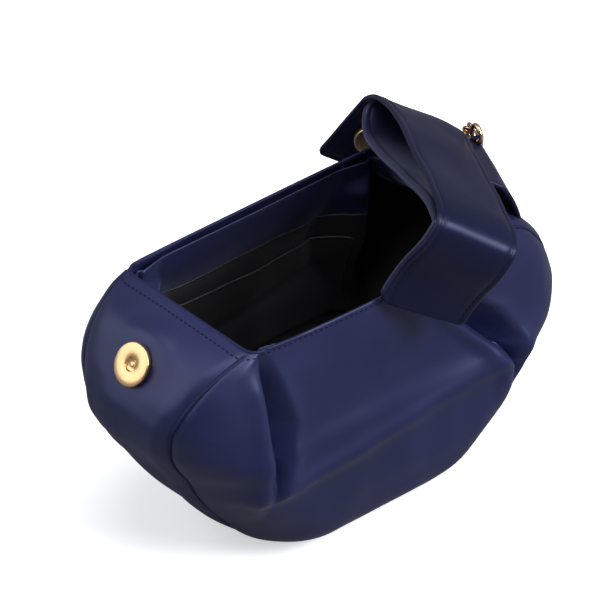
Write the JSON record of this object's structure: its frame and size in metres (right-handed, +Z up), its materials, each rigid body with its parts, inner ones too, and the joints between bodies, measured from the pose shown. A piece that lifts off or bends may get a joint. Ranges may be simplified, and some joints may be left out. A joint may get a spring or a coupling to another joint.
{
  "type": "satin evening bag",
  "caption": "Half-moon satin evening bag standing open, with a folded stiff closure flap, hand strap, magnetic snap, lined inside and a wrist chain on a ring.",
  "frame": {"origin": "middle of the flat underside that the bag stands on", "axes": "+Z up, +X along the bag towards the flap's root and the chain, -Y towards the front wall"},
  "size_m": [0.2195, 0.1965, 0.1577],
  "materials": {
    "satin": "navy silk satin",
    "lining": "smooth black lining",
    "board": "plain stiffening board, hidden",
    "snap_gold": "satin pale gold plating",
    "chain_gold": "polished rose gold plating",
    "chain_links": "polished rose gold plating"
  },
  "bodies": {
    "bag": {"left_end_panel": "satin", "right_end_panel": "satin", "base_panel": "satin", "front_panel": "satin", "back_panel": "satin", "front_seam_strip": "satin", "back_seam_strip": "satin", "rim_binding": "satin", "facing_band": "satin", "root_tongue": "satin", "ring_loop": "satin", "lining_bowl": "lining", "slip_pocket": "lining", "base_board": "board", "panel_snap_socket": "snap_gold", "panel_snap_button": "snap_gold", "panel_snap_washer": "snap_gold", "chain_clasp": "chain_gold", "wrist_chain": "chain_links"},
    "flap": {"outer_ply_sleeve": "satin", "outer_ply_stiffener": "board", "inner_ply_sleeve": "satin", "inner_ply_stiffener": "board"},
    "tab": {"tab_sleeve": "satin", "tab_stiffener": "board", "tab_snap_stud": "snap_gold"},
    "ring": {"chain_ring": "chain_gold"}
  },
  "joints": [
    {"name": "flap_lift", "type": "hinge", "parent": "bag", "child": "flap", "pos_m": [0.08155, -0.00756, 0.12744], "axis": [0.5779, 0.8161, 0], "range_deg": [0, 60]},
    {"name": "tab_fold", "type": "hinge", "parent": "flap", "child": "tab", "pos_m": [0.08343, 0.04025, 0.11983], "axis": [0.7061, -0.4999, -0.5015], "range_deg": [0, 50]},
    {"name": "ring_swing", "type": "hinge", "parent": "bag", "child": "ring", "pos_m": [0.09411, 0.00683, 0.12012], "axis": [0.5779, 0.8161, 0], "range_deg": [-12, 25]}
  ]
}
